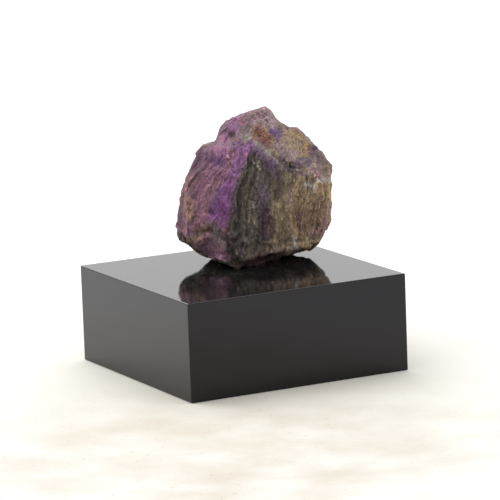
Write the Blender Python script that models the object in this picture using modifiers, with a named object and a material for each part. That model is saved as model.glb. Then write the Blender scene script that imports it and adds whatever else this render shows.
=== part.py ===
"""A rough lump of purpurite standing on its square block of polished black acrylic.

Metres, +Z up. The origin is the middle of the block's underside. The block's wide front faces -Y. The stone has its
own axes: X to the right, Y away and Z up as it is seen from the corner of the block, turned by STONE_TURN about Z.
Its shape is worked out in millimetres around its middle.
"""

import math

import bmesh
import bpy
import numpy as np
from mathutils import Vector

MM = 0.001

BLOCK_SIDE = 50.0 * MM
BLOCK_HEIGHT = 20.3 * MM
BLOCK_EDGE = 0.25 * MM
BLOCK_EDGE_STEPS = 2

STONE_TURN = math.radians(-27.5)
STONE_MIDDLE = Vector((8.3, 8.6)) * MM
STONE_FOOT = 15.7
REST_GAP = 0.3 * MM
STONE_LEAST = 6.0
STONE_MOST = 26.0
SEARCH_ROUNDS = 18
SLOPE_STEP = 0.15
STONE_SPLITS = 6
STONE_TRIANGLES = 7600

# Each break face: its name, its heading (0 faces the front corner, 90 the right), its tilt upwards and its distance
# from the stone's middle. The first word of the name is the kind of surface that it has.
BODY_FACES = (
    ("plates, cheek", -30, 5, 12.9),
    ("plates, upper cheek", -35, 35, 12.9),
    ("plates, lower cheek", -30, -24, 17.4),
    ("plates, left shoulder", -82, 37, 12.8),
    ("plates, high left flank", -95, 20, 13.2),
    ("plates, left flank", -85, 6, 14.9),
    ("broken, low left flank", -80, -35, 18.5),
    ("broken, left underside", -80, -61, 17.9),
    ("seam, nose", 18, 2, 11.0),
    ("fibres, front", 31, -3, 11.2),
    ("fibres, right side", 78, 1, 16.4),
    ("fibres, far right side", 107, 8, 16.7),
    ("grains, right shoulder", 98, 45, 14.6),
    ("fibres, low right side", 84, -8, 16.1),
    ("broken, right underside", 84, -38, 18.6),
    ("grains, slope", 53, 41, 11.4),
    ("grains, top", -90, 82, 9.5),
    ("broken, foot", 0, -90, STONE_FOOT),
    ("broken, right undercut", 40, -48, 15.8),
    ("broken, left undercut", -40, -50, 19.4),
    ("plates, back", 178, 6, 12.2),
    ("fibres, back right", 138, -6, 14.0),
    ("plates, back left", -138, 9, 14.2),
    ("grains, high back", 165, 46, 12.9),
    ("plates, high back left", -130, 42, 13.4),
    ("broken, low back", 172, -44, 15.6),
    ("broken, low back right", 128, -38, 17.2),
    ("broken, low back left", -128, -36, 17.4),
)
CROWN_FACES = (
    ("grains, crown right wall", 80, 36, 11.9),
    ("grains, crown top", -90, 73, 14.8),
    ("plates, crown slope", -52, 45, 12.4),
    ("plates, crown left slope", -88, 49, 12.5),
    ("plates, crown left wall", -88, 18, 9.7),
    ("grains, crown front", 15, 45, 13.3),
    ("grains, crown back", 176, 24, 9.1),
    ("plates, crown cheek", -30, 5, 12.3),
    ("grains, crown nose", 20, 2, 10.4),
    ("grains, crown floor", 0, -90, -2.0),
)
FACE_SHARPNESS = 4.5
JOIN_SHARPNESS = 8.0
SHARE_SHARPNESS = 3.0
BEND = 0.5
BEND_SIZE = 7.0
BEND_SEEDS = (11, 23, 37)

# Small flat breaks all over the stone: their size, how far they stand out or in, and a seed.
BREAKS = (
    (5.2, 0.42, 801),
    (2.7, 0.27, 131),
)
BREAK_DRIFT = 0.45
GRAIN_SIZE, GRAIN_HEIGHT, GRAIN_SEED = 2.4, 0.08, 151
FIBRE_WIDTH, FIBRE_LENGTH, FIBRE_HEIGHT, FIBRE_SEED = 1.9, 9.0, 0.20, 161

# The stone's layers open like a fan from a line above it. A layer's place is the tangent of its lean, negative to
# the left. The ledges step down to the left, each by the drop beside it.
FAN_X, FAN_Z = 3.0, 21.7
LAYER_SIZE, LAYER_HEIGHT, LAYER_SEED = 2.9, 0.75, 171
WANDER, WANDER_SIZE, WANDER_SEED = 0.04, 4.0, 191
LEDGES = (
    ("bright plate", -0.44, 0.50),
    ("brown plate", -0.60, 0.45),
    ("rim plate", -0.78, 0.35),
)
LEDGE_WIDTH = 0.025

# The dark seam runs down the front between the violet cheek and a shallower band of grey-violet rock.
SEAM_LEFT, SEAM_RIGHT, SEAM_DEPTH = -0.30, -0.125, 0.75
BAND_RIGHT, BAND_DEPTH = 0.02, 0.30
SEAM_WALL = 0.03
SEAM_BOTTOM, SEAM_FADE = -10.5, 2.0
FRONT_FADE = 3.0

# The grainy faces stand a little proud where they end, which makes the crest.
LIP_HEIGHT = 0.35

# Hollows: the middle of each, its radius and its depth.
PITS = (
    ((6.9, -8.2, 5.1), 1.0, 0.9),
    ((7.9, -7.7, 4.4), 1.1, 1.0),
    ((-4.1, -5.2, 11.2), 1.3, 0.7),
    ((12.0, -6.4, 1.0), 1.3, 0.5),
    ((-10.8, -8.2, -8.6), 1.5, 0.6),
    ((-2.6, -11.9, -11.0), 1.4, 0.6),
    ((-9.0, 9.6, 3.0), 1.8, 0.8),
    ((5.5, 11.5, -4.5), 1.6, 0.7),
    ((15.2, 5.0, -4.0), 1.5, 0.6),
)


def facing(heading, tilt):
    """The outward normal of a face with this heading and tilt, in degrees."""
    heading, tilt = math.radians(heading), math.radians(tilt)
    return (
        math.sin(heading) * math.cos(tilt),
        -math.cos(heading) * math.cos(tilt),
        math.sin(tilt),
    )


def soft_most(values, sharpness):
    """The largest of the rows of values, rounded over where two of them are alike."""
    top = values.max(axis=0)
    return top + np.log(np.exp(sharpness * (values - top)).sum(axis=0)) / sharpness


def beyond(points, faces):
    """How far the points are beyond each of the faces, in millimetres, one row for each face."""
    normals = np.array([facing(heading, tilt) for _, heading, tilt, _ in faces])
    reach = np.array([distance for _, _, _, distance in faces])
    return normals @ points.T - reach[:, None]


def ramp(value, low, high):
    """0 below low, 1 above high, and a smooth rise between them."""
    part = np.clip((value - low) / (high - low), 0, 1)
    return part * part * (3 - 2 * part)


def lattice(cells, seed):
    """A random number from -1 to 1 for each whole-number cell."""
    mixed = cells[:, 0] * 73856093 ^ cells[:, 1] * 19349663 ^ cells[:, 2] * 83492791 ^ seed * 2654435761
    mixed = (mixed ^ (mixed >> 13)) * 1274126177 & 0x7FFFFFFF
    mixed = (mixed ^ (mixed >> 15)) * 1103515245 & 0x7FFFFFFF
    return (mixed ^ (mixed >> 16)) / 0x3FFFFFFF - 1.0


def smooth_noise(points, seed):
    """Noise that varies smoothly from -1 to 1 over about one unit."""
    corner = np.floor(points).astype(np.int64)
    part = points - corner
    part = part * part * part * (part * (part * 6 - 15) + 10)
    total = np.zeros(len(points))
    for step in np.ndindex(2, 2, 2):
        weight = np.where(step, part, 1 - part).prod(axis=1)
        total += weight * lattice(corner + np.array(step), seed)
    return total


def rough_noise(points, size, layers, seed):
    """Layers of noise, each half the size and strength of the one before."""
    total = np.zeros(len(points))
    for layer in range(layers):
        total += smooth_noise(points * 2**layer / size + 17.3 * layer, seed + layer) / 2**layer
    return total


def chips(points, size, seed):
    """Small flat breaks: each cell about a random point is a little plane with a tilt and a height of its own."""
    points = points / size
    corner = np.floor(points).astype(np.int64)
    nearest = np.full(len(points), np.inf)
    height = np.zeros(len(points))
    for step in np.ndindex(3, 3, 3):
        cell = corner + np.array(step) - 1
        middle = cell + 0.5 + BREAK_DRIFT * np.stack([lattice(cell, seed + axis) for axis in range(3)], axis=1)
        tilt = np.stack([lattice(cell, seed + 5 + axis) for axis in range(3)], axis=1)
        away = points - middle
        distance = (away * away).sum(axis=1)
        closer = distance < nearest
        nearest = np.where(closer, distance, nearest)
        height = np.where(closer, (tilt * away).sum(axis=1) + 0.5 * lattice(cell, seed + 9), height)
    return height


def bent(points):
    """The points moved a little by noise, so that flat faces become uneven."""
    shift = np.stack([rough_noise(points, BEND_SIZE, 2, seed) for seed in BEND_SEEDS], axis=1)
    return points + BEND * shift


def outside_stone(points):
    """How far the points are outside the stone's broken shape, roughly, in millimetres."""
    moved = bent(points)
    body = soft_most(beyond(moved, BODY_FACES), FACE_SHARPNESS)
    crown = soft_most(beyond(moved, CROWN_FACES), FACE_SHARPNESS)
    joined = -soft_most(np.stack([-body, -crown]), JOIN_SHARPNESS)
    return np.maximum(joined, -points[:, 2] - STONE_FOOT)


def crossings(directions):
    """The distance along each direction at which the stone's surface lies."""
    near = np.full(len(directions), STONE_LEAST)
    far = np.full(len(directions), STONE_MOST)
    for _ in range(SEARCH_ROUNDS):
        middle = (near + far) / 2
        inside = outside_stone(directions * middle[:, None]) < 0
        near = np.where(inside, middle, near)
        far = np.where(inside, far, middle)
    return (near + far) / 2


def outward(points):
    """The surface's outward directions at the points."""
    steps = SLOPE_STEP * np.eye(3)
    slopes = np.stack([outside_stone(points + step) - outside_stone(points - step) for step in steps], axis=1)
    return slopes / np.linalg.norm(slopes, axis=1, keepdims=True)


def shares(points):
    """How much each kind of surface has a part in the points: a dictionary of weights from 0 to 1."""
    moved = bent(points)
    body, crown = beyond(moved, BODY_FACES), beyond(moved, CROWN_FACES)
    on_crown = crown.max(axis=0) < body.max(axis=0)
    result = {}
    for faces, values, here in ((BODY_FACES, body, ~on_crown), (CROWN_FACES, crown, on_crown)):
        weights = np.exp(SHARE_SHARPNESS * (values - values.max(axis=0)))
        weights /= weights.sum(axis=0)
        for (name, _, _, _), weight in zip(faces, weights):
            kind = name.split(",")[0]
            result[kind] = result.get(kind, 0) + np.where(here, weight, 0)
    return result


def saw(value):
    """A slow rise and a quick drop back, over every whole number."""
    part = value - np.floor(value)
    return part - ramp(part, 0.8, 1.0) - 0.4


def relief(points):
    """How far the surface stands out from the broken shape at the points, in millimetres."""
    kinds = shares(points)
    plates, fibres, grains = kinds["plates"], kinds["fibres"], kinds["grains"]
    x, y, z = points.T
    wander = WANDER * rough_noise(points, WANDER_SIZE, 3, WANDER_SEED)
    fan = (x - FAN_X) / (FAN_Z - z) + wander
    front = ramp(-y, 0.0, FRONT_FADE)

    height = GRAIN_HEIGHT * rough_noise(points, GRAIN_SIZE, 2, GRAIN_SEED)
    for size, depth, seed in BREAKS:
        height += depth * chips(points, size, seed)
    height += FIBRE_HEIGHT * fibres * smooth_noise(points / (FIBRE_WIDTH, FIBRE_WIDTH, FIBRE_LENGTH), FIBRE_SEED)
    layer = FAN_Z * fan / LAYER_SIZE + 0.5 * rough_noise(points, WANDER_SIZE, 2, LAYER_SEED)
    height += LAYER_HEIGHT * plates * saw(layer)
    for _, place, drop in LEDGES:
        height -= drop * front * plates * ramp(place - fan, 0.0, LEDGE_WIDTH)

    right_of_cheek = front * (1 - grains) * ramp(z, SEAM_BOTTOM, SEAM_BOTTOM + SEAM_FADE)
    right_of_cheek *= ramp(fan - SEAM_LEFT, 0.0, SEAM_WALL)
    height -= SEAM_DEPTH * right_of_cheek * ramp(SEAM_RIGHT - fan, 0.0, SEAM_WALL)
    height -= BAND_DEPTH * right_of_cheek * ramp(BAND_RIGHT - fan, 0.0, SEAM_WALL)
    height += LIP_HEIGHT * front * 4 * grains * (1 - grains)
    for middle, radius, depth in PITS:
        away = np.linalg.norm(points - middle, axis=1) / radius
        height -= depth * (1 - ramp(away + 8 * wander, 0.3, 1.0))
    return height


def stone_surface(directions):
    """Points on the stone's surface in these directions from its middle, in millimetres."""
    smooth = directions * crossings(directions)[:, None]
    surface = smooth + outward(smooth) * relief(smooth)[:, None]
    surface[:, 2] = np.maximum(surface[:, 2], -STONE_FOOT)
    return surface


def new_material(name, colour, roughness, metallic=0.0):
    """A plain surface of one colour."""
    material = bpy.data.materials.new(name)
    material.use_nodes = True
    shader = material.node_tree.nodes["Principled BSDF"]
    shader.inputs["Base Color"].default_value = (*colour, 1.0)
    shader.inputs["Roughness"].default_value = roughness
    shader.inputs["Metallic"].default_value = metallic
    material.diffuse_color = (*colour, 1.0)
    return material


def new_object(name, shape, collection, material):
    """An object made from a bmesh, in its own collection, with one material."""
    mesh = bpy.data.meshes.new(name)
    shape.to_mesh(mesh)
    shape.free()
    mesh.materials.append(material)
    result = bpy.data.objects.new(name, mesh)
    collection.objects.link(result)
    return result


def make_block(collection):
    """The square black block with its edges just broken."""
    shape = bmesh.new()
    bmesh.ops.create_cube(shape, size=1.0)
    bmesh.ops.scale(shape, vec=(BLOCK_SIDE, BLOCK_SIDE, BLOCK_HEIGHT), verts=shape.verts)
    block = new_object("display_block", shape, collection, new_material("black_acrylic", (0.012, 0.012, 0.013), 0.06))
    block.location.z = BLOCK_HEIGHT / 2
    edge = block.modifiers.new("broken edges", "BEVEL")
    edge.width = BLOCK_EDGE
    edge.segments = BLOCK_EDGE_STEPS
    return block


def make_stone(collection):
    """The stone: a ball of points drawn in onto the broken shape, then thinned to the triangles that show it."""
    shape = bmesh.new()
    bmesh.ops.create_icosphere(shape, subdivisions=STONE_SPLITS, radius=1.0)
    directions = np.array([vert.co for vert in shape.verts])
    directions /= np.linalg.norm(directions, axis=1, keepdims=True)
    for vert, place in zip(shape.verts, stone_surface(directions) * MM):
        vert.co = place
    faces = len(shape.faces)
    stone = new_object("purpurite", shape, collection, new_material("purpurite", (0.17, 0.07, 0.16), 0.75))
    stone.location = (*STONE_MIDDLE, BLOCK_HEIGHT + REST_GAP + STONE_FOOT * MM)
    stone.rotation_euler.z = STONE_TURN
    thin = stone.modifiers.new("fewer triangles", "DECIMATE")
    thin.ratio = STONE_TRIANGLES / faces
    return stone


def main():
    for old in list(bpy.data.objects):
        bpy.data.objects.remove(old)
    collection = bpy.data.collections.new("purpurite on its block")
    bpy.context.scene.collection.children.link(collection)
    make_block(collection)
    make_stone(collection)


main()
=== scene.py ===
"""The looks of the purpurite specimen: its many-coloured stone, its polished block, the light and the floor.

The frame is in metres. The stone's shape and colours are worked out in millimetres in its own axes, X to the
right, Y away and Z up as the camera sees it. Its break faces and layers are the CAD stone's, with small
corrections.
"""

import math

import bmesh
import bpy
import numpy as np
from mathutils import Matrix, Vector


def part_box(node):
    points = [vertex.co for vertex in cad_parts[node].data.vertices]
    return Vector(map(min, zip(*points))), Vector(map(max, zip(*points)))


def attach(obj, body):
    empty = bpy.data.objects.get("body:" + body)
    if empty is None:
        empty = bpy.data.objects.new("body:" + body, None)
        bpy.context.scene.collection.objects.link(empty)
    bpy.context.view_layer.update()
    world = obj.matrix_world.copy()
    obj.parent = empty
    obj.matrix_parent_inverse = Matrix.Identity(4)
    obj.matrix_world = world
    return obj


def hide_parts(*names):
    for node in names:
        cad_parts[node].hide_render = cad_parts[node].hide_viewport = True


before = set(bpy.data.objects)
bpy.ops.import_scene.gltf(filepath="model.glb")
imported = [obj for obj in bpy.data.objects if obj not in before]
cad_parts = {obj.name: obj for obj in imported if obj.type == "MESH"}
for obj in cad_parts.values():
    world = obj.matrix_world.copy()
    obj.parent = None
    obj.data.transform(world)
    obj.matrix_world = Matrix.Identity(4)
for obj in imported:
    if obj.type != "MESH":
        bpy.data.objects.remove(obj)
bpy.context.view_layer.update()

MM = 0.001

# The camera stands where the photograph was taken from.
CAMERA_PLACE = (-0.34116, -0.66005, 0.16720)
CAMERA_HEADING, CAMERA_DIP, CAMERA_ROLL = (math.radians(angle) for angle in (27.495, 10.887, -2.094))
CAMERA_LENS, CAMERA_SENSOR = 262.96, 36.0

# The room is brighter behind the object than in front of it, and a soft box hangs behind it to the left.
ROOM_IN_FRONT, ROOM_BEHIND = 0.84, 1.19
SOFT_BOX = {"place": (-0.20, 0.50, 0.60), "aim": (-0.05, 0.08, 0.0), "size": 1.0, "watts": 4.0}

# The floor's paper is whiter away from the block, and creamy and flecked with dirt in a patch in front of it.
FLOOR_REACH = 3.0
PAPER_NEAR, PAPER_FAR, PAPER_REACH = (0.87, 0.85, 0.77, 1), (0.95, 0.95, 0.93, 1), (0.03, 0.09)
PAPER_CREAM, CREAM_MIDDLE, CREAM_REACH = (0.70, 0.65, 0.56, 1), (-0.038, -0.065, 0.0), (0.03, 0.08)
PAPER_DIRT, PAPER_ROUGHNESS = (0.45, 0.36, 0.27, 1), 0.9

# The block's black, how much it mirrors, and the dust on its top: its grey, how much of it there is between
# its flecks and in them, and how far up a surface has to look to be dusty.
ACRYLIC_BLACK, ACRYLIC_SHINE, ACRYLIC_IOR = (0.0008, 0.0008, 0.0008, 1), (0.86, 0.82, 0.88, 1), 1.49
DUST_GREY, DUST_COVER, DUSTY_UP = (0.37, 0.36, 0.36, 1), (0.02, 0.10), (0.5, 0.9)

# Noise on the floor and the block: its scale and detail, the values it is held between and what they become.
MOTTLE, MOTTLE_HELD, MOTTLE_PART = {"Scale": 70.0, "Detail": 6.0}, (0.35, 0.65), (0.5, 1.0)
DIRT, DIRT_HELD, DIRT_PART = {"Scale": 800.0, "Detail": 2.0}, (0.66, 0.72), (0.0, 0.4)
HAZE, HAZE_HELD, HAZE_ROUGHNESS = {"Scale": 90.0, "Detail": 4.0}, (0.3, 0.7), (0.04, 0.09)
FLECK, FLECK_HELD = {"Scale": 1500.0, "Detail": 3.0}, (0.55, 0.75)

# Where the stone stands, and the gap that its foot keeps from the block. Its surface is searched for between
# the least and the most distance from its middle, along the directions of a cube's grid with this many cells
# a side.
STONE_TURN = math.radians(-27.5)
STONE_MIDDLE = Vector((8.3, 8.6)) * MM
STONE_FOOT = 15.7
FOOT_GAP, FOOT_MARGIN = 0.03, 0.001
BLOCK_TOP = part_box("display_block")[1].z
STONE_LEAST, STONE_MOST, SEARCH_ROUNDS = 6.0, 26.0, 18
SLOPE_STEP = 0.15
STONE_GRID = 127

# The noise: whole numbers that stir a cell's place and a seed into a random number, and how far each layer of
# noise is shifted from the one before.
CELL_STIR, SEED_STIR, LATER_STIRS = (73856093, 19349663, 83492791), 2654435761, (1274126177, 1103515245)
NOISE_SHIFT = 17.3

# Each break face: its name, its heading (0 faces the front corner, 90 the right), its tilt upwards and its
# distance from the stone's middle. The first word of the name is the kind of surface that it has.
BODY_FACES = (
    ("plates, cheek", -30, 5, 12.9),
    ("plates, upper cheek", -35, 35, 13.25),
    ("plates, lower cheek", -30, -24, 17.4),
    ("plates, left shoulder", -82, 37, 13.0),
    ("plates, high left flank", -95, 20, 13.4),
    ("plates, left flank", -85, 6, 14.9),
    ("broken, low left flank", -80, -35, 18.9),
    ("broken, left underside", -80, -61, 17.8),
    ("seam, nose", 18, 2, 11.0),
    ("fibres, front", 31, -3, 11.2),
    ("fibres, right side", 78, 1, 16.4),
    ("fibres, far right side", 107, 8, 16.7),
    ("grains, right shoulder", 98, 45, 14.6),
    ("fibres, low right side", 84, -8, 16.1),
    ("broken, right underside", 84, -38, 18.6),
    ("grains, slope", 53, 41, 11.4),
    ("grains, top", -90, 82, 9.5),
    ("broken, foot", 0, -90, STONE_FOOT),
    ("broken, right undercut", 40, -62, 16.2),
    ("broken, left undercut", -40, -50, 19.0),
    ("plates, back", 178, 6, 12.2),
    ("fibres, back right", 138, -6, 14.0),
    ("plates, back left", -138, 9, 14.2),
    ("grains, high back", 165, 46, 12.9),
    ("plates, high back left", -130, 42, 13.4),
    ("broken, low back", 172, -44, 15.6),
    ("broken, low back right", 128, -38, 17.2),
    ("broken, low back left", -128, -36, 17.4),
)
CROWN_FACES = (
    ("grains, crown right wall", 80, 36, 11.9),
    ("grains, crown top", -90, 73, 14.8),
    ("skin, crown slope", -52, 45, 12.5),
    ("skin, crown left slope", -88, 49, 12.8),
    ("skin, crown left wall", -88, 18, 9.8),
    ("grains, crown middle", -18, 47, 12.9),
    ("grains, crown front", 15, 45, 13.3),
    ("grains, crown back", 176, 24, 9.1),
    ("plates, crown cheek", -30, 5, 11.8),
    ("grains, crown nose", 20, 2, 10.4),
    ("grains, crown floor", 0, -90, -2.0),
)

# How sharply faces meet, crown and body join and kinds of surface change, and how far the faces are bent.
FACE_SHARPNESS, JOIN_SHARPNESS, SHARE_SHARPNESS = 4.5, 8.0, 3.0
BEND, BEND_SIZE, BEND_SEEDS = 0.5, 7.0, (11, 23, 37)

# Small flat breaks: their size, how far they stand out or in, and a seed. Each break has its own middle,
# which strays from that of its cell, its own tilt and its own height. BREAK_EDGE makes their edges crisp.
BREAKS = (
    (5.2, 0.36, 801),
    (2.7, 0.27, 131),
)
FINE_BREAKS = (
    (1.3, 0.13, 211),
    (0.7, 0.13, 223),
)
BREAK_DRIFT, BREAK_STEP, BREAK_EDGE = 0.45, 0.5, 8.0
TILT_SEED, STEP_SEED = 5, 9

# Soft grains all over, and ridges along the fibres.
GRAIN_SIZE, GRAIN_HEIGHT, GRAIN_SEED = 2.4, 0.08, 151
FIBRE_WIDTH, FIBRE_LENGTH, FIBRE_HEIGHT, FIBRE_SEED = 1.9, 9.0, 0.20, 161

# The stone's layers open like a fan from a line above it. A layer's place is the tangent of its lean,
# negative to the left, and it wanders a little. Each layer rises as far as LAYER_CREST of its width and then
# drops back. The ledges step down to the left, each by the drop beside it.
FAN_X, FAN_Z = 3.0, 21.7
LAYER_SIZE, LAYER_HEIGHT, LAYER_DRIFT, LAYER_SEED = 2.9, 0.30, 0.25, 171
LAYER_CREST, LAYER_MEAN = 0.65, 0.35
WANDER, WANDER_SIZE, WANDER_SEED = 0.04, 4.0, 191
LEDGES = (
    ("bright plate", -0.44, 0.35),
    ("brown plate", -0.60, 0.25),
    ("rim plate", -0.78, 0.20),
)
LEDGE_WIDTH = 0.045

# The dark seam runs down the front between the violet cheek and a shallower band of grey-violet rock. Both
# have steep walls, and end above the stone's foot and where the front does.
SEAM_LEFT, SEAM_RIGHT, SEAM_DEPTH = -0.30, -0.125, 0.75
BAND_RIGHT, BAND_DEPTH = 0.02, 0.30
SEAM_WALL = 0.03
SEAM_BOTTOM, SEAM_FADE = -10.5, 2.0
FRONT_FADE = 3.0

# The grainy faces stand a little proud where they end, which makes the crest.
LIP_HEIGHT = 0.35

# Hollows: the middle of each, its radius and its depth. Their rims are wavy, and slope between two shares of
# the radius.
PIT_WAVE, PIT_RIM = 8, (0.3, 1.0)
PITS = (
    ((6.1, -8.5, 5.1), 1.2, 0.4),
    ((7.6, -7.8, 4.4), 1.2, 0.5),
    ((-4.1, -5.2, 11.2), 1.3, 0.7),
    ((12.0, -6.4, 1.0), 1.3, 0.5),
    ((-10.8, -8.2, -8.6), 1.5, 0.6),
    ((-2.6, -11.9, -11.0), 1.4, 0.6),
    ((-9.0, 9.6, 3.0), 1.8, 0.8),
    ((5.5, 11.5, -4.5), 1.6, 0.7),
    ((15.2, 5.0, -4.0), 1.5, 0.6),
)

# Fine relief that only shows close by. Strands have a width, a height and a seed, and are stretched along the
# layers or the leaning fibres by STRAND_STRETCH.
FIBRE_LEAN = 0.22
STRAND_STRETCH = 5.0
STRANDS = (
    (0.75, 0.06, 241),
    (0.4, 0.06, 251),
)
THIN_LAYER, THIN_LAYER_HEIGHT, THIN_LAYER_SEED = 0.9, 0.07, 261
THIN_LAYER_DRIFT = 0.2

# Small sharp pits: their size, their depth, how low the noise is where one opens, and a seed. They are
# shorter than the strands by NICK_SQUASH, and NICK_SLOPE is how much lower the noise is at their bottom.
NICKS = (
    (1.1, 0.25, -0.60, 271),
    (0.55, 0.16, -0.50, 281),
)
NICK_SQUASH, NICK_SLOPE = 2.5, 0.5

# Patches where the fine relief is worn down: their size, how soft their edges are and how much is gone. The
# smooth plates and skin have less of it everywhere, by PLATE_CALM.
WORN_SIZE, WORN_EDGE, WORN_SHARE, WORN_SEED = 5.0, 0.6, 0.55, 285
PLATE_CALM = 0.3

# Thin cracks between the layers: their spacing, their width as a share of it, their depth and how strongly
# painted shade darkens the rock in them. They are shorter than the strands by CRACK_SQUASH.
CRACK_SIZE, CRACK_WIDTH, CRACK_DEPTH, CRACK_PAINTED_SHADE, CRACK_SEED = 1.3, 0.10, 0.12, 0.55, 291
CRACK_SQUASH = 1.6

# The sizes of the finest grains, dust and fibres, which only colour and bump the surface, and how dark and
# light each of them makes it.
GRAIN_ACROSS, GRAIN_LENGTH, DUST_ACROSS, FIBRE_ACROSS = 0.38, 0.70, 0.3, 0.35
GRAIN_SHAPE = (1 / GRAIN_ACROSS, 1 / GRAIN_ACROSS, STRAND_STRETCH / GRAIN_LENGTH)
DUST_DETAIL, FIBRE_DETAIL, FINE_HELD = 3.0, 2.0, (0.3, 0.7)
GRAIN_LIGHT, DUST_LIGHT, FIBRE_LIGHT = (0.73, 1.32), (0.65, 1.35), (0.7, 1.3)
BUMP_HEIGHT, BUMP_STRENGTH = 0.06, 0.7

# The share of grains that are specks of another colour, how softly it begins and how much they cover.
SPECK_SHARE, SPECK_FADE, SPECK_COVER = 0.16, 0.05, 0.75

# How strongly the rock reflects, and how rough its smoothest and roughest grains are.
ROCK_GLINT, ROCK_ROUGHNESS = 0.15, (0.45, 0.9)

# Painted shade darkens each hollow place and a painted highlight lightens each edge: the rounds of smoothing
# each is worked out over, and its strength.
PAINTED_HOLLOW_SHADE = ((2, 4.0), (16, 1.2))

# How strongly the finest grains, dust and fibres show on each kind of surface.
GRIT = {"plates": 0.65, "skin": 0.65, "fibres": 0.85, "grains": 0.85, "broken": 0.75, "seam": 1.0}

# Colours as they look in soft white light, each from 0 to 255.
COLOURS = {
    "plum": (122, 83, 106),
    "violet": (122, 82, 124),
    "vivid violet": (118, 72, 122),
    "deep violet": (92, 64, 98),
    "blue violet": (96, 68, 112),
    "rose": (138, 100, 116),
    "rose brown": (126, 94, 96),
    "pink": (146, 104, 130),
    # Painted light: the low slab's pink, painted lighter to make up for the shade that the block casts on it.
    "painted lit pink": (186, 140, 164),
    "band dark": (58, 44, 54),
    "pale mauve": (152, 132, 134),
    "slate": (98, 80, 98),
    "grey": (112, 106, 104),
    "seam": (66, 62, 60),
    "seam olive": (102, 94, 82),
    "mauve brown": (94, 82, 84),
    "dark violet": (72, 56, 68),
    "dark plum": (94, 68, 84),
    "deep plum": (80, 54, 70),
    "ochre": (152, 126, 92),
    "tan": (128, 98, 84),
    "yellow": (148, 127, 100),
    "brown": (114, 94, 76),
    "olive beige": (122, 108, 88),
    "dark brown": (88, 72, 62),
    "cream": (150, 132, 118),
    "mauve": (132, 112, 116),
    "rust": (116, 76, 64),
    # Silver: the grey of the pale flecks, made brighter by a painted glint.
    "silver": (164, 158, 152),
    "blue white": (166, 162, 164),
    "salmon": (160, 120, 106),
    "dark": (52, 46, 44),
}

# What each kind of surface is made of, from the low to the high values of the noise that mixes it.
MIXES = {
    "plates": ("dark plum", "rose brown", "plum", "rose", "violet"),
    "skin": ("rose brown", "plum", "rose", "plum", "mauve"),
    "fibres": ("dark brown", "brown", "olive beige", "yellow", "brown"),
    "grains": ("dark plum", "mauve", "olive beige", "mauve", "cream", "plum"),
    "broken": ("dark brown", "mauve brown", "brown", "dark violet", "rose brown"),
    "seam": ("dark", "seam", "seam olive", "seam", "mauve brown"),
}

# That noise, the wider patches added to it, and streaks that only make the rock lighter and darker.
MIX_SIZE, MIX_STRETCH, MIX_STRENGTH, MIX_SEED = 2.4, 3.0, 0.9, 301
PATCH_SIZE, PATCH_STRENGTH, PATCH_SEED = 7.0, 0.6, 308
STREAK_SIZE, STREAK_LIGHT, STREAK_SEED = 0.5, 0.25, 421

# The single grains scattered through each kind of surface, mixed in the same way.
SPECKS = {
    "plates": ("dark violet", "dark plum", "dark violet", "mauve"),
    "skin": ("dark violet", "mauve", "deep violet", "cream"),
    "fibres": ("dark brown", "dark", "mauve brown", "yellow"),
    "grains": ("dark violet", "deep violet", "mauve brown", "yellow", "cream", "dark plum"),
    "broken": ("dark", "dark brown", "dark", "mauve brown"),
    "seam": ("dark", "seam olive", "dark", "grey"),
}
SPECK_SIZE, SPECK_STRENGTH, SPECK_SEED = 1.1, 1.4, 431
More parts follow.
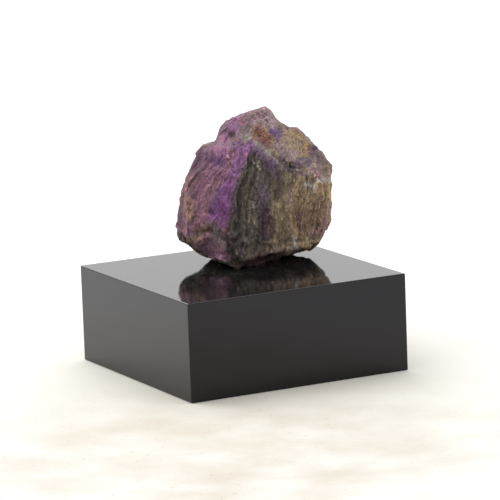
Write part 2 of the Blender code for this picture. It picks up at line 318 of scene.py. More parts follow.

# Streaks and spots seen on the front: the name, the colour, the two ends of the middle line, each as a place
# across and up, half the width and how much is covered. Some are painted light: painted shadow in the crown
# notch, on the hole's right side and below the crest, painted shade on the shoulder, the high flank and the
# left rim, painted light on the low slab, and a painted glint in the silver flecks.
MARKS = (
    ("crown plum", "plum", (-6.0, 11.5), (-2.0, 13.5), 1.6, 0.9),
    ("crown low shade", "dark plum", (-8.0, 10.2), (-5.4, 11.8), 1.3, 0.85),
    ("crown violet", "violet", (-3.6, 13.2), (-2.9, 12.2), 0.7, 0.8),
    # Painted shadow in the notch at the foot of the crown's left wall.
    ("crown notch", "dark", (-4.6, 11.2), (-3.9, 11.2), 0.4, 0.8),
    ("crown tan streak", "tan", (-3.8, 10.5), (-2.9, 10.6), 0.3, 0.7),
    ("grey saddle", "grey", (-2.0, 12.3), (-0.3, 10.6), 1.1, 0.6),
    ("saddle flecks", "silver", (-1.8, 11.9), (2.8, 8.5), 0.3, 0.25),
    ("rust rim", "tan", (1.0, 12.3), (3.3, 10.2), 1.1, 0.7),
    ("rust core", "rust", (1.2, 12.0), (2.7, 10.5), 1.1, 0.95),
    ("crown cream", "pale mauve", (3.5, 14.3), (4.6, 12.8), 1.0, 0.7),
    ("peak mauve", "mauve", (-1.0, 14.9), (3.0, 15.5), 1.6, 0.8),
    ("peak plum", "plum", (-1.2, 14.6), (1.0, 15.2), 1.2, 0.35),
    ("violet patch", "blue violet", (4.2, 11.9), (5.9, 10.9), 0.6, 0.95),
    ("crest brown", "brown", (8.6, 10.7), (10.2, 9.9), 1.1, 0.9),
    ("crest plum", "dark plum", (8.4, 10.9), (10.0, 10.3), 0.8, 0.4),
    ("slope yellow", "yellow", (7.0, 9.4), (9.8, 9.2), 1.2, 0.6),
    ("upper ochre", "ochre", (6.9, 11.0), (8.4, 10.3), 0.6, 0.6),
    ("left ochre", "ochre", (7.6, 7.9), (9.0, 7.4), 0.5, 0.7),
    ("ochre spot", "ochre", (9.6, 6.5), (11.7, 7.5), 0.9, 0.95),
    ("high ochre spot", "ochre", (10.0, 9.7), (10.5, 9.1), 0.7, 0.7),
    ("yellow cream", "yellow", (9.0, 6.5), (11.2, 5.9), 0.7, 0.7),
    ("slope mauve", "pale mauve", (5.0, 8.7), (8.3, 6.5), 1.2, 0.6),
    ("right plum", "dark plum", (12.6, 6.8), (14.4, 4.6), 1.0, 0.85),
    ("right mottle", "mauve brown", (14.0, 5.9), (16.1, 2.8), 1.2, 0.9),
    ("olive edge", "olive beige", (15.3, 3.1), (15.6, 2.0), 0.9, 0.7),
    ("lavender streak", "slate", (9.2, 5.6), (11.5, 4.5), 0.7, 0.8),
    ("pink slab", "pink", (-8.2, 8.1), (-5.7, 9.6), 1.4, 0.8),
    ("bright violet", "violet", (-2.6, 9.2), (-0.3, 9.1), 1.1, 0.9),
    ("slab edge", "deep violet", (-4.0, 9.6), (-2.4, 9.9), 0.8, 0.6),
    ("slate band", "slate", (0.5, 8.7), (4.7, 5.5), 1.1, 0.9),
    ("low slate", "deep violet", (3.0, 5.2), (4.6, 3.2), 0.9, 0.4),
    ("hole", "mauve brown", (5.6, 6.0), (7.2, 4.6), 0.9, 0.8),
    # Painted shadow on the hole's right side and below the lip of the crest.
    ("hole shadow", "seam", (7.4, 4.9), (8.0, 3.9), 0.55, 0.9),
    ("crest shade", "mauve brown", (8.4, 3.9), (9.7, 3.4), 0.8, 0.45),
    # Painted shade, darkening the shoulder and high flank, which face the soft box.
    ("shoulder shade", "deep plum", (-10.0, 9.6), (-11.0, 6.6), 1.8, 0.55),
    ("high flank shade", "deep plum", (-11.6, 6.6), (-12.2, 4.6), 1.4, 0.95),
    ("slate spot", "deep violet", (-9.2, 6.9), (-6.6, 6.2), 0.9, 0.8),
    ("high plum stripe", "dark plum", (-5.2, 6.2), (-8.0, 2.8), 1.0, 0.4),
    ("high flank tan", "rose brown", (-13.2, 2.0), (-13.8, 0.0), 1.0, 0.8),
    ("high brown stripe", "dark plum", (-9.3, 6.1), (-11.3, 3.5), 0.9, 0.5),
    ("high violet stripe", "violet", (-2.3, 7.6), (-4.4, 3.0), 1.1, 0.85),
    ("high seam", "seam", (-0.4, 7.4), (-2.2, 2.5), 0.8, 0.7),
    ("olive sliver", "seam olive", (0.4, 6.9), (1.1, 2.1), 0.6, 0.7),
    ("vivid stripe", "vivid violet", (-4.7, 0.8), (-7.2, -5.0), 2.3, 0.85),
    ("vivid shade", "deep violet", (-7.0, 1.0), (-8.8, -4.0), 0.7, 0.7),
    ("vivid edge", "dark violet", (-3.3, 2.8), (-4.2, -0.6), 0.5, 0.8),
    ("second stripe", "rose", (-8.9, 2.0), (-11.0, -3.6), 0.8, 0.8),
    ("low rose stripe", "rose", (-9.8, -0.9), (-11.4, -5.6), 0.9, 0.6),
    ("left tan", "tan", (-13.6, -1.6), (-14.4, -5.6), 1.2, 0.7),
    ("tan spot", "salmon", (-13.3, -3.0), (-13.6, -5.4), 0.8, 0.5),
    ("grey violet spot", "slate", (-12.9, -0.7), (-12.5, -1.1), 0.7, 0.6),
    ("salmon spot", "salmon", (-14.9, -8.4), (-14.7, -8.7), 0.5, 0.9),
    ("low olive brown", "dark brown", (-12.2, -8.7), (-8.6, -6.7), 0.9, 0.9),
    ("low olive", "brown", (-12.4, -9.6), (-11.8, -9.8), 0.6, 0.7),
    ("low dark plum", "dark plum", (-11.6, -10.6), (-10.8, -10.7), 0.7, 0.4),
    ("left pink", "rose", (-15.0, -8.2), (-14.8, -9.4), 1.0, 0.6),
    ("low left brown", "dark brown", (-13.4, -10.4), (-12.2, -11.6), 1.1, 0.95),
    ("low plum", "deep plum", (-11.4, -11.2), (-7.6, -10.0), 1.3, 0.7),
    ("low cheek shade", "mauve brown", (-7.8, -8.6), (-6.0, -11.0), 1.5, 0.85),
    # Painted light on the low slab, which the block's shade would darken.
    ("painted lit pink slab", "painted lit pink", (-9.2, -13.3), (-6.1, -13.5), 0.8, 1.0),
    ("low seam", "seam", (-3.1, 0.9), (-4.9, -7.9), 1.3, 0.9),
    ("seam shade", "dark", (-2.6, 2.0), (-4.2, -7.0), 0.6, 0.6),
    ("seam olive", "seam olive", (-1.2, 1.1), (-1.6, -4.3), 0.9, 0.9),
    ("seam fleck", "silver", (-0.4, -1.9), (-0.2, -3.0), 0.3, 0.6),
    ("high band", "mauve brown", (1.9, 2.9), (1.1, -3.2), 1.2, 0.8),
    ("band violet", "slate", (2.2, -0.6), (2.0, -4.0), 0.9, 0.6),
    ("low band", "band dark", (2.1, -4.0), (1.9, -8.8), 1.5, 0.9),
    ("low band core", "deep plum", (2.6, -4.6), (2.4, -8.8), 0.6, 0.6),
    ("bottom red brown", "dark", (0.6, -10.6), (1.8, -13.8), 1.8, 0.65),
    ("bottom dark", "dark", (-5.0, -10.2), (-4.1, -13.8), 1.8, 0.85),
    ("bottom tan", "cream", (4.0, -12.6), (6.6, -13.0), 1.1, 0.95),
    ("right yellow", "ochre", (15.0, -0.7), (16.0, -2.5), 1.1, 0.7),
    ("yellow fibres", "olive beige", (11.6, -1.9), (13.3, -2.8), 0.9, 0.6),
    ("brown fibres", "brown", (11.3, -4.7), (9.8, -9.2), 2.0, 0.8),
    ("right brown fibres", "brown", (13.7, -4.4), (13.2, -8.0), 1.4, 0.75),
    ("upper tan fibres", "yellow", (8.2, -1.0), (10.4, -3.0), 1.2, 0.6),
    ("tan fibres", "yellow", (5.4, -3.0), (5.6, -5.4), 1.1, 0.5),
    ("low brown fibres", "dark brown", (4.6, -8.2), (6.4, -10.6), 1.3, 0.65),
    ("right rose rim", "rose brown", (15.6, -5.5), (14.3, -9.9), 1.0, 0.6),
    ("low right rose", "rose brown", (12.0, -9.9), (13.0, -10.1), 1.0, 0.5),
    ("low right brown", "yellow", (10.4, -12.1), (12.4, -12.6), 1.3, 0.6),
    ("olive fibres", "olive beige", (4.6, -3.7), (4.5, -8.3), 1.6, 0.5),
    ("high dark brown", "dark brown", (5.0, 1.4), (5.6, 0.0), 1.1, 0.5),
    ("beige stripe", "cream", (7.6, -0.7), (6.7, -4.0), 0.5, 0.5),
    ("white spot", "blue white", (8.0, -10.1), (8.3, -12.8), 0.4, 0.9),
    ("silver patch", "silver", (11.0, 0.6), (12.3, -0.4), 0.7, 0.65),
    ("silver shade", "dark", (11.2, -0.1), (11.6, -0.6), 0.35, 0.7),
    ("blue white streak", "blue white", (13.2, 1.2), (16.2, 0.3), 0.45, 0.4),
    ("salmon fibre", "salmon", (13.3, -0.8), (13.5, -1.1), 0.4, 0.8),
    ("crest fleck", "silver", (3.0, 8.4), (3.6, 7.7), 0.3, 0.9),
    ("second crest fleck", "silver", (4.4, 6.7), (6.0, 4.7), 0.25, 0.35),
    ("third crest fleck", "silver", (8.6, 4.8), (9.2, 3.8), 0.2, 0.25),
    ("seam top fleck", "silver", (0.4, 6.2), (1.4, 4.8), 0.25, 0.5),
    # Painted shade, darkening the left rim where light grazes it from behind.
    ("left rim", "deep plum", (-16.2, -2.0), (-16.0, -7.9), 0.9, 0.8),
    ("low left rim", "dark", (-15.4, -10.2), (-13.7, -12.0), 0.9, 0.7),
    ("under left", "dark plum", (-10.6, -12.2), (-9.2, -12.6), 0.9, 0.5),
)

# The marks' edges are ragged, longer along the strands, and grainy. They fade between two shares of the half
# width, and on the stone's way round to its back.
MARK_EDGE, MARK_EDGE_SIZE, MARK_EDGE_SQUASH, MARK_EDGE_SEED = 0.3, 1.2, 2, 401
MARK_GRAIN, MARK_GRAIN_SIZE, MARK_GRAIN_SEED = 0.2, 0.5, 406
MARK_FADE = (0.5, 1.5)
FRONT_REACH, FRONT_BLEND = 4.0, 3.0


def facing(heading, tilt):
    """The outward normal of a face with this heading and tilt, in degrees."""
    heading, tilt = math.radians(heading), math.radians(tilt)
    return (
        math.sin(heading) * math.cos(tilt),
        -math.cos(heading) * math.cos(tilt),
        math.sin(tilt),
    )


def soft_most(values, sharpness):
    """The largest of the rows of values, rounded over where two of them are alike."""
    top = values.max(axis=0)
    return top + np.log(np.exp(sharpness * (values - top)).sum(axis=0)) / sharpness


def beyond(points, faces):
    """How far the points are beyond each of the faces, in millimetres, one row for each face."""
    normals = np.array([facing(heading, tilt) for _, heading, tilt, _ in faces])
    reach = np.array([distance for _, _, _, distance in faces])
    return normals @ points.T - reach[:, None]


def ramp(value, low, high):
    """0 below low, 1 above high, and a smooth rise between them."""
    part = np.clip((value - low) / (high - low), 0, 1)
    return part * part * (3 - 2 * part)


def lattice(cells, seed):
    """A random number from -1 to 1 for each whole-number cell."""
    x, y, z = (cells * CELL_STIR).T
    mixed = x ^ y ^ z ^ seed * SEED_STIR
    mixed = (mixed ^ (mixed >> 13)) * LATER_STIRS[0] & 0x7FFFFFFF
    mixed = (mixed ^ (mixed >> 15)) * LATER_STIRS[1] & 0x7FFFFFFF
    return (mixed ^ (mixed >> 16)) / 0x3FFFFFFF - 1.0


def smooth_noise(points, seed):
    """Noise that varies smoothly from -1 to 1 over about one unit."""
    corner = np.floor(points).astype(np.int64)
    part = points - corner
    part = part * part * part * (part * (part * 6 - 15) + 10)
    total = np.zeros(len(points))
    for step in np.ndindex(2, 2, 2):
        weight = np.where(step, part, 1 - part).prod(axis=1)
        total += weight * lattice(corner + np.array(step), seed)
    return total


def rough_noise(points, size, layers, seed):
    """Layers of noise, each half the size and strength of the one before."""
    total = np.zeros(len(points))
    for layer in range(layers):
        total += smooth_noise(points * 2**layer / size + NOISE_SHIFT * layer, seed + layer) / 2**layer
    return total


def chips(points, size, seed):
    """Small flat breaks: each cell about a random point is a little plane with its own tilt and height."""
    points = points / size
    corner = np.floor(points).astype(np.int64)
    total, heights = np.zeros(len(points)), np.zeros(len(points))
    for step in np.ndindex(3, 3, 3):
        cell = corner + np.array(step) - 1
        drift = np.stack([lattice(cell, seed + axis) for axis in range(3)], axis=1)
        tilt = np.stack([lattice(cell, seed + TILT_SEED + axis) for axis in range(3)], axis=1)
        away = points - (cell + 0.5 + BREAK_DRIFT * drift)
        weight = np.exp(-BREAK_EDGE * size * (away * away).sum(axis=1))
        total += weight
        heights += weight * ((tilt * away).sum(axis=1) + BREAK_STEP * lattice(cell, seed + STEP_SEED))
    return heights / total


def bent(points):
    """The points moved a little by noise, so that flat faces become uneven."""
    shift = np.stack([rough_noise(points, BEND_SIZE, 2, seed) for seed in BEND_SEEDS], axis=1)
    return points + BEND * shift


def outside_stone(points):
    """How far the points are outside the stone's broken shape, roughly, in millimetres."""
    moved = bent(points)
    body = soft_most(beyond(moved, BODY_FACES), FACE_SHARPNESS)
    crown = soft_most(beyond(moved, CROWN_FACES), FACE_SHARPNESS)
    joined = -soft_most(np.stack([-body, -crown]), JOIN_SHARPNESS)
    return np.maximum(joined, -points[:, 2] - STONE_FOOT)


def crossings(directions):
    """The distance along each direction at which the stone's surface lies."""
    near = np.full(len(directions), STONE_LEAST)
    far = np.full(len(directions), STONE_MOST)
    for _ in range(SEARCH_ROUNDS):
        middle = (near + far) / 2
        inside = outside_stone(directions * middle[:, None]) < 0
        near = np.where(inside, middle, near)
        far = np.where(inside, far, middle)
    return (near + far) / 2


def outward(points):
    """The surface's outward directions at the points."""
    steps = SLOPE_STEP * np.eye(3)
    slopes = [outside_stone(points + step) - outside_stone(points - step) for step in steps]
    slopes = np.stack(slopes, axis=1)
    return slopes / np.linalg.norm(slopes, axis=1, keepdims=True)


def shares(points):
    """How much each kind of surface has a part in the points: a dictionary of weights from 0 to 1."""
    moved = bent(points)
    body, crown = beyond(moved, BODY_FACES), beyond(moved, CROWN_FACES)
    on_crown = crown.max(axis=0) < body.max(axis=0)
    result = {}
    for faces, values, here in ((BODY_FACES, body, ~on_crown), (CROWN_FACES, crown, on_crown)):
        weights = np.exp(SHARE_SHARPNESS * (values - values.max(axis=0)))
        weights /= weights.sum(axis=0)
        for (name, _, _, _), weight in zip(faces, weights):
            kind = name.split(",")[0]
            result[kind] = result.get(kind, 0) + np.where(here, weight, 0)
    return result


def saw(value):
    """A slow rise and a quick drop back, over every whole number."""
    part = value - np.floor(value)
    return part - ramp(part, LAYER_CREST, 1.0) - LAYER_MEAN


def fan_place(points):
    """The tangent of the lean of the layer that each point lies in."""
    x, _, z = points.T
    return (x - FAN_X) / (FAN_Z - z) + WANDER * rough_noise(points, WANDER_SIZE, 3, WANDER_SEED)


def strands(points, plates):
    """Places across and along the layers of the plates, or the fibres elsewhere, in millimetres."""
    x, y, z = points.T
    across = np.where(plates > 0.5, FAN_X + FAN_Z * fan_place(points), x - FIBRE_LEAN * z)
    return np.stack([across, y, z / STRAND_STRETCH], axis=1)


def relief(points, kinds):
    """How far the surface stands out from the broken shape at the points, in millimetres."""
    plates, fibres, grains = kinds["plates"], kinds["fibres"], kinds["grains"]
    _, y, z = points.T
    wander = WANDER * rough_noise(points, WANDER_SIZE, 3, WANDER_SEED)
    fan = fan_place(points)
    front = ramp(-y, 0.0, FRONT_FADE)

    height = GRAIN_HEIGHT * rough_noise(points, GRAIN_SIZE, 2, GRAIN_SEED)
    for size, depth, seed in BREAKS:
        height += depth * chips(points, size, seed)
    fibre_size = (FIBRE_WIDTH, FIBRE_WIDTH, FIBRE_LENGTH)
    height += FIBRE_HEIGHT * fibres * smooth_noise(points / fibre_size, FIBRE_SEED)
    layer = FAN_Z * fan / LAYER_SIZE + LAYER_DRIFT * rough_noise(points, WANDER_SIZE, 2, LAYER_SEED)
    height += LAYER_HEIGHT * plates * saw(layer)
    for _, place, drop in LEDGES:
        height -= drop * front * plates * ramp(place - fan, 0.0, LEDGE_WIDTH)

    right_of_cheek = front * (1 - grains) * ramp(z, SEAM_BOTTOM, SEAM_BOTTOM + SEAM_FADE)
    right_of_cheek *= ramp(fan - SEAM_LEFT, 0.0, SEAM_WALL)
    height -= SEAM_DEPTH * right_of_cheek * ramp(SEAM_RIGHT - fan, 0.0, SEAM_WALL)
    height -= BAND_DEPTH * right_of_cheek * ramp(BAND_RIGHT - fan, 0.0, SEAM_WALL)
    height += LIP_HEIGHT * front * 4 * grains * (1 - grains)
    for middle, radius, depth in PITS:
        away = np.linalg.norm(points - middle, axis=1) / radius
        height -= depth * (1 - ramp(away + PIT_WAVE * wander, *PIT_RIM))
    return height


def roughness(kinds):
    """1 on the rough kinds of surface, and less on the smooth plates and skin."""
    return 1 - PLATE_CALM * (kinds["plates"] + kinds["skin"])


def cracks(kinds, threads):
    """Up to 1 in the thin cracks between the layers and fibres, and 0 away from them."""
    value = rough_noise(threads * (1, 1, CRACK_SQUASH) / CRACK_SIZE, 1.0, 2, CRACK_SEED)
    stringy = (kinds["plates"] + kinds["fibres"]) * roughness(kinds)
    return stringy * (1 - ramp(np.abs(value), 0.0, CRACK_WIDTH))


def fine_relief(points, kinds, threads):
    """The strands, thin layers, small breaks and pits that the CAD stone leaves out, in millimetres."""
    stringy = kinds["plates"] + kinds["fibres"]
    drift = THIN_LAYER_DRIFT * rough_noise(points, WANDER_SIZE, 2, THIN_LAYER_SEED)
    height = THIN_LAYER_HEIGHT * kinds["plates"] * saw(threads[:, 0] / THIN_LAYER + drift)
    for size, depth, seed in FINE_BREAKS:
        height += depth * chips(points, size, seed)
    for width, depth, seed in STRANDS:
        height += depth * stringy * smooth_noise(threads / width, seed)
    for size, depth, level, seed in NICKS:
        value = smooth_noise(threads * (1, 1, NICK_SQUASH) / size, seed)
        height -= depth * ramp(level - value, 0.0, NICK_SLOPE)
    worn = ramp(rough_noise(points, WORN_SIZE, 2, WORN_SEED), -WORN_EDGE, WORN_EDGE)
    return height * roughness(kinds) * (1 - WORN_SHARE * worn) - CRACK_DEPTH * cracks(kinds, threads)


def linear(colour):
    """A colour from 0 to 255 as the light that it sends back, from 0 to 1."""
    part = np.asarray(colour) / 255
    return np.where(part < 0.04045, part / 12.92, ((part + 0.055) / 1.055) ** 2.4)


def mixed(value, names):
    """Colours read off a row of named ones, the first at -1 and the last at 1."""
    row = np.array([linear(COLOURS[name]) for name in names])
    places = np.linspace(-1, 1, len(names))
    return np.stack([np.interp(value, places, channel) for channel in row.T], axis=1)


def covered(colours, colour, weight):
    """The colours with another laid over them by the weight at each point."""
    return colours + weight[:, None] * (colour - colours)


def stroke_distance(points, start, end):
    """How far points are from the line between two places, across and up."""
    places = points[:, (0, 2)]
    start, along = np.array(start), np.subtract(end, start)
    part = np.clip((places - start) @ along / (along @ along), 0, 1)
    return np.linalg.norm(places - start - part[:, None] * along, axis=1)


def seam_share(points, kinds):
    """1 in the dark seam down the front, and 0 away from it."""
    fan = fan_place(points)
    share = ramp(-points[:, 1], 0.0, FRONT_FADE) * (1 - kinds["grains"])
    share *= ramp(fan, SEAM_LEFT, SEAM_LEFT + SEAM_WALL)
    return share * ramp(-fan, -SEAM_RIGHT, -SEAM_RIGHT + SEAM_WALL)


def grit(points, kinds):
    """How strongly the finest grains show at each point, from 0 to 1."""
    usual = sum(weight * GRIT[kind] for kind, weight in kinds.items())
    return usual + seam_share(points, kinds) * (GRIT["seam"] - usual)


def rock_colours(points, kinds, threads, painted_shade_and_highlight):
    """The stone's colour at each point, as the light that it sends back, with painted shade in its hollow
    places and cracks and a painted highlight on its edges.
    """
    mix_places = threads * (1, 1, STRAND_STRETCH / MIX_STRETCH)
    mix = MIX_STRENGTH * rough_noise(mix_places, MIX_SIZE, 3, MIX_SEED)
    mix += PATCH_STRENGTH * rough_noise(points, PATCH_SIZE, 2, PATCH_SEED)
    colours = sum(weight[:, None] * mixed(mix, MIXES[kind]) for kind, weight in kinds.items())
    colours = covered(colours, mixed(mix, MIXES["seam"]), seam_share(points, kinds))

    front = ramp(FRONT_REACH - points[:, 1], 0.0, FRONT_BLEND)
    edge_places = threads * (1, 1, MARK_EDGE_SQUASH)
    edge = MARK_EDGE * rough_noise(edge_places, MARK_EDGE_SIZE, 3, MARK_EDGE_SEED)
    edge += MARK_GRAIN * rough_noise(points, MARK_GRAIN_SIZE, 2, MARK_GRAIN_SEED)
    for _, colour, start, end, width, cover in MARKS:
        away = stroke_distance(points, start, end) / width + edge
        weight = front * cover * (1 - ramp(away, *MARK_FADE))
        colours = covered(colours, linear(COLOURS[colour]), weight)

    stringy = (kinds["plates"] + kinds["fibres"]) * roughness(kinds)
    streak = rough_noise(threads, STREAK_SIZE, 2, STREAK_SEED) * stringy
    # Painted shade in the hollow places and cracks, and a painted highlight on the edges; the streaks are the
    # rock's own.
    light = np.exp(STREAK_LIGHT * streak - painted_shade_and_highlight - CRACK_PAINTED_SHADE * cracks(kinds, threads))
    return np.clip(colours * light[:, None], 0, 1)


def speck_colours(points, kinds):
    """The colour of the scattered grains that differ from the rock around them, at each point."""
    value = SPECK_STRENGTH * rough_noise(points, SPECK_SIZE, 2, SPECK_SEED)
    return sum(weight[:, None] * mixed(value, SPECKS[kind]) for kind, weight in kinds.items())


def neighbour_mean(values, ends, rounds):
    """The values averaged with their neighbours' again and again."""
    count = np.bincount(ends.ravel(), minlength=len(values)) + 1
    for _ in range(rounds):
        total = values.copy()
        for here, there in (ends.T, ends.T[::-1]):
            for axis in range(3):
                total[:, axis] += np.bincount(here, weights=values[there, axis], minlength=len(values))
        values = total / count[:, None]
    return values


def hollowness(mesh, rounds):
    """How far each point of the mesh lies below its surroundings, in millimetres."""
    count = len(mesh.vertices)
    places, normals = np.empty(count * 3), np.empty(count * 3)
    ends = np.empty(len(mesh.edges) * 2, np.int32)
    mesh.vertices.foreach_get("co", places)
    mesh.vertex_normals.foreach_get("vector", normals)
    mesh.edges.foreach_get("vertices", ends)
    places = places.reshape(-1, 3)
    lower = neighbour_mean(places, ends.reshape(-1, 2), rounds) - places
    return (lower * normals.reshape(-1, 3)).sum(axis=1) / MM


def add_node(tree, kind, inputs=(), **settings):
    """A shader node with its settings and inputs. An input is a value or another node's output."""
    node = tree.nodes.new(kind)
    for name, value in settings.items():
        setattr(node, name, value)
    for name, value in dict(inputs).items():
        if isinstance(value, bpy.types.NodeSocket):
            tree.links.new(value, node.inputs[name])
        else:
            node.inputs[name].default_value = value
    return node


def new_material(name, **values):
    """A material with one surface shader and its plain values, that material's tree, and the shader."""
    material = bpy.data.materials.new(name)
    material.use_nodes = True
    tree = material.node_tree
    shader = tree.nodes["Principled BSDF"]
    for socket, value in values.items():
        shader.inputs[socket.replace("_", " ")].default_value = value
    return material, tree, shader


def map_range(tree, value, old, new):
    """A value carried from one range to another, and held within it."""
    ranges = {"From Min": old[0], "From Max": old[1], "To Min": new[0], "To Max": new[1]}
    return add_node(tree, "ShaderNodeMapRange", {"Value": value, **ranges}).outputs["Result"]


def multiply(tree, first, second):
    """The product of two values."""
    return add_node(tree, "ShaderNodeMath", {0: first, 1: second}, operation="MULTIPLY").outputs["Value"]


def vector_math(tree, operation, first, second, output="Vector"):
    """What an operation on two vectors gives."""
    return add_node(tree, "ShaderNodeVectorMath", {0: first, 1: second}, operation=operation).outputs[output]


def noise(tree, place, shape):
    """Noise over a place, with the scale and detail that its shape says."""
    return add_node(tree, "ShaderNodeTexNoise", {"Vector": place, **shape}).outputs["Fac"]


def mix_colours(tree, part, first, second):
    """The first colour where the part is 0 and the second where it is 1."""
    node = add_node(tree, "ShaderNodeMix", {"Factor": part}, data_type="RGBA")
    colours = [socket for socket in node.inputs if socket.type == "RGBA"]
    for socket, colour in zip(colours, (first, second)):
        if isinstance(colour, bpy.types.NodeSocket):
            tree.links.new(colour, socket)
        else:
            socket.default_value = colour
    return [socket for socket in node.outputs if socket.type == "RGBA"][0]


def stone_material():
    """Rock coloured by the stone's own attributes, with fine grain, fibres and flecks on top."""
    material, tree, shader = new_material("purpurite rock", Specular_IOR_Level=ROCK_GLINT)
    rock = add_node(tree, "ShaderNodeAttribute", attribute_name="rock").outputs["Color"]
    speck = add_node(tree, "ShaderNodeAttribute", attribute_name="speck").outputs["Color"]
    threads = add_node(tree, "ShaderNodeAttribute", attribute_name="threads").outputs["Vector"]
    gritty = add_node(tree, "ShaderNodeAttribute", attribute_name="grit").outputs["Fac"]
    place = add_node(tree, "ShaderNodeTexCoord").outputs["Object"]

    long_grain = vector_math(tree, "MULTIPLY", threads, GRAIN_SHAPE)
    grain = add_node(tree, "ShaderNodeTexVoronoi", {"Vector": long_grain, "Scale": 1.0})
    chance = add_node(tree, "ShaderNodeSeparateColor", {"Color": grain.outputs["Color"]}).outputs
    dust = noise(tree, place, {"Scale": 1 / (DUST_ACROSS * MM), "Detail": DUST_DETAIL})
    fibre = noise(tree, threads, {"Scale": 1 / FIBRE_ACROSS, "Detail": FIBRE_DETAIL})

    odd = (1 - SPECK_SHARE - SPECK_FADE, 1 - SPECK_SHARE)
    is_speck = map_range(tree, chance["Red"], odd, (0.0, SPECK_COVER))
    mottled = mix_colours(tree, multiply(tree, is_speck, gritty), rock, speck)
    grain_light = map_range(tree, chance["Green"], (0.0, 1.0), GRAIN_LIGHT)
    dust_light = map_range(tree, dust, FINE_HELD, DUST_LIGHT)
    fibre_light = map_range(tree, fibre, FINE_HELD, FIBRE_LIGHT)
    light = multiply(tree, multiply(tree, grain_light, dust_light), fibre_light)
    change = add_node(tree, "ShaderNodeMath", {0: light, 1: 1.0}, operation="SUBTRACT").outputs["Value"]
    eased = add_node(tree, "ShaderNodeMath", {0: change, 1: gritty, 2: 1.0}, operation="MULTIPLY_ADD")
    light = eased.outputs["Value"]
    speckled = add_node(tree, "ShaderNodeHueSaturation", {"Color": mottled, "Value": light})
    tree.links.new(speckled.outputs["Color"], shader.inputs["Base Color"])
    shine = map_range(tree, chance["Blue"], (0.0, 1.0), ROCK_ROUGHNESS)
    tree.links.new(shine, shader.inputs["Roughness"])
    relief_shape = {"Height": light, "Distance": BUMP_HEIGHT * MM, "Strength": BUMP_STRENGTH}
    bump = add_node(tree, "ShaderNodeBump", relief_shape)
    tree.links.new(bump.outputs["Normal"], shader.inputs["Normal"])
    return material


def block_material():
    """Polished black acrylic, with dust lying on its top."""
    values = {"IOR": ACRYLIC_IOR, "Specular_Tint": ACRYLIC_SHINE}
    material, tree, shader = new_material("polished black acrylic", **values)
    where = add_node(tree, "ShaderNodeTexCoord").outputs
    haze = map_range(tree, noise(tree, where["Object"], HAZE), HAZE_HELD, HAZE_ROUGHNESS)
    tree.links.new(haze, shader.inputs["Roughness"])

    upward = add_node(tree, "ShaderNodeSeparateXYZ", {"Vector": where["Normal"]}).outputs["Z"]
    lying = map_range(tree, upward, DUSTY_UP, (0.0, 1.0))
    fleck = map_range(tree, noise(tree, where["Object"], FLECK), FLECK_HELD, DUST_COVER)
    dusty = mix_colours(tree, multiply(tree, lying, fleck), ACRYLIC_BLACK, DUST_GREY)
    tree.links.new(dusty, shader.inputs["Base Color"])
    return material


def floor_material():
    """White paper, with a creamy, softly mottled patch and a little dirt in front of the block."""
    material, tree, shader = new_material("white paper", Roughness=PAPER_ROUGHNESS)
    place = add_node(tree, "ShaderNodeTexCoord").outputs["Object"]
    reach = vector_math(tree, "DISTANCE", place, (0.0, 0.0, 0.0), "Value")
    paper = mix_colours(tree, map_range(tree, reach, PAPER_REACH, (0.0, 1.0)), PAPER_NEAR, PAPER_FAR)

    away = vector_math(tree, "DISTANCE", place, CREAM_MIDDLE, "Value")
    patch = map_range(tree, away, CREAM_REACH, (1.0, 0.0))
    mottle = map_range(tree, noise(tree, place, MOTTLE), MOTTLE_HELD, MOTTLE_PART)
    paper = mix_colours(tree, multiply(tree, patch, mottle), paper, PAPER_CREAM)

    dirt = map_range(tree, noise(tree, place, DIRT), DIRT_HELD, DIRT_PART)
    paper = mix_colours(tree, multiply(tree, patch, dirt), paper, PAPER_DIRT)
    tree.links.new(paper, shader.inputs["Base Color"])
    return material


def stone_grid():
    """A cube with evenly divided faces: an object with its mesh, and the direction of each of its points."""
    shape = bmesh.new()
    bmesh.ops.create_cube(shape, size=2.0)
    bmesh.ops.subdivide_edges(shape, edges=shape.edges, cuts=STONE_GRID - 1, use_grid_fill=True)
    mesh = bpy.data.meshes.new("purpurite_stone")
    shape.to_mesh(mesh)
    shape.free()
    directions = np.empty(len(mesh.vertices) * 3)
    mesh.vertices.foreach_get("co", directions)
    directions = np.tan(directions.reshape(-1, 3) * math.pi / 4)
    directions /= np.linalg.norm(directions, axis=1, keepdims=True)
    stone = bpy.data.objects.new("purpurite_stone", mesh)
    bpy.context.scene.collection.objects.link(stone)
    return stone, directions


def set_attribute(mesh, name, kind, field, values):
    """A value at each of the mesh's points, for its material to read."""
    attribute = mesh.attributes.new(name, kind, "POINT")
    attribute.data.foreach_set(field, np.ascontiguousarray(values, np.float32).ravel())


def set_colours(mesh, name, colours):
    """A colour at each of the mesh's points."""
    set_attribute(mesh, name, "FLOAT_COLOR", "color", np.column_stack([colours, np.ones(len(colours))]))


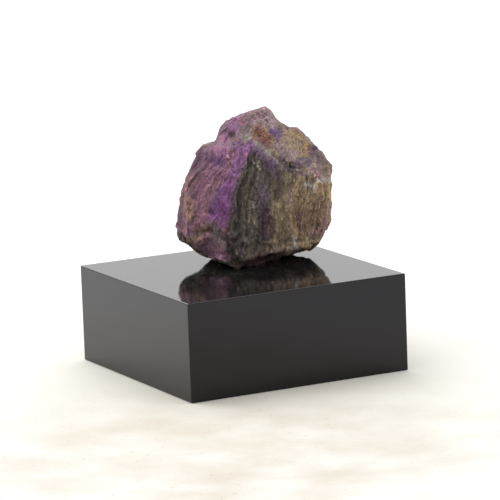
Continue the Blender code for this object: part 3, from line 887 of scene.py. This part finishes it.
def make_stone():
    """The stone: a fine grid of points drawn in onto the broken shape, with its relief and colours."""
    stone, directions = stone_grid()
    smooth = directions * crossings(directions)[:, None]
    kinds = shares(smooth)
    threads = strands(smooth, kinds["plates"])
    height = relief(smooth, kinds) + fine_relief(smooth, kinds, threads)
    surface = smooth + outward(smooth) * height[:, None]
    foot_drop = (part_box("purpurite")[0].z - BLOCK_TOP) / MM - FOOT_GAP
    at_foot = surface[:, 2] < -STONE_FOOT + FOOT_MARGIN
    surface[:, 2] = np.where(at_foot, -STONE_FOOT - foot_drop, surface[:, 2])

    mesh = stone.data
    middle = Matrix.Translation((*STONE_MIDDLE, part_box("purpurite")[0].z + STONE_FOOT * MM))
    placed = middle @ Matrix.Rotation(STONE_TURN, 4, "Z") @ Matrix.Scale(MM, 4)
    mesh.vertices.foreach_set("co", surface.ravel())
    mesh.transform(placed)
    mesh.shade_smooth()
    mesh.update()
    # Painted shade and highlight, from how far each point lies below or above its surroundings.
    painted_shade_and_highlight = sum(strength * hollowness(mesh, rounds) for rounds, strength in PAINTED_HOLLOW_SHADE)
    set_colours(mesh, "rock", rock_colours(surface, kinds, threads, painted_shade_and_highlight))
    set_colours(mesh, "speck", speck_colours(surface, kinds))
    set_attribute(mesh, "threads", "FLOAT_VECTOR", "vector", threads)
    set_attribute(mesh, "grit", "FLOAT", "value", grit(surface, kinds))
    mesh.materials.append(stone_material())
    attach(stone, "root")
    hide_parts("purpurite")


def finish_block():
    """The CAD block keeps its shape and gets its polish."""
    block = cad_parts["display_block"]
    for slot in block.material_slots:
        slot.material = block_material()


def make_floor():
    """A wide sheet of white paper under everything."""
    shape = bmesh.new()
    bmesh.ops.create_grid(shape, x_segments=1, y_segments=1, size=FLOOR_REACH)
    mesh = bpy.data.meshes.new("floor")
    shape.to_mesh(mesh)
    shape.free()
    mesh.materials.append(floor_material())
    floor = bpy.data.objects.new("floor", mesh)
    bpy.context.scene.collection.objects.link(floor)


def make_light():
    """White light from all around and a soft box above, behind and to the left."""
    world = bpy.data.worlds.new("white room")
    world.use_nodes = True
    tree = world.node_tree
    backdrop = tree.nodes["Background"]
    backdrop.inputs["Color"].default_value = (1, 1, 1, 1)
    way = add_node(tree, "ShaderNodeTexCoord").outputs["Generated"]
    behind = (math.sin(CAMERA_HEADING), math.cos(CAMERA_HEADING), 0)
    along = vector_math(tree, "DOT_PRODUCT", way, behind, "Value")
    strength = map_range(tree, along, (-1.0, 1.0), (ROOM_IN_FRONT, ROOM_BEHIND))
    tree.links.new(strength, backdrop.inputs["Strength"])
    bpy.context.scene.world = world

    light = bpy.data.lights.new("soft box", "AREA")
    light.size = SOFT_BOX["size"]
    light.energy = SOFT_BOX["watts"]
    lamp = bpy.data.objects.new("soft box", light)
    lamp.location = SOFT_BOX["place"]
    aim = Vector(SOFT_BOX["aim"]) - Vector(SOFT_BOX["place"])
    lamp.rotation_euler = aim.to_track_quat("-Z", "Y").to_euler()
    bpy.context.scene.collection.objects.link(lamp)


def make_camera():
    """The photograph's camera."""
    turn, dip, roll = CAMERA_HEADING, CAMERA_DIP, CAMERA_ROLL
    ahead = Vector((math.sin(turn) * math.cos(dip), math.cos(turn) * math.cos(dip), -math.sin(dip)))
    level = Vector((math.cos(turn), -math.sin(turn), 0))
    above = level.cross(ahead)
    right = level * math.cos(roll) + above * math.sin(roll)
    above = above * math.cos(roll) - level * math.sin(roll)
    data = bpy.data.cameras.new("camera")
    data.lens = CAMERA_LENS
    data.sensor_width = CAMERA_SENSOR
    camera = bpy.data.objects.new("camera", data)
    pointed = Matrix((right, above, -ahead)).transposed().to_4x4()
    camera.matrix_world = Matrix.Translation(CAMERA_PLACE) @ pointed
    bpy.context.scene.collection.objects.link(camera)
    bpy.context.scene.camera = camera


make_camera()
make_light()
make_floor()
finish_block()
make_stone()
bpy.context.scene.view_settings.view_transform = "Standard"
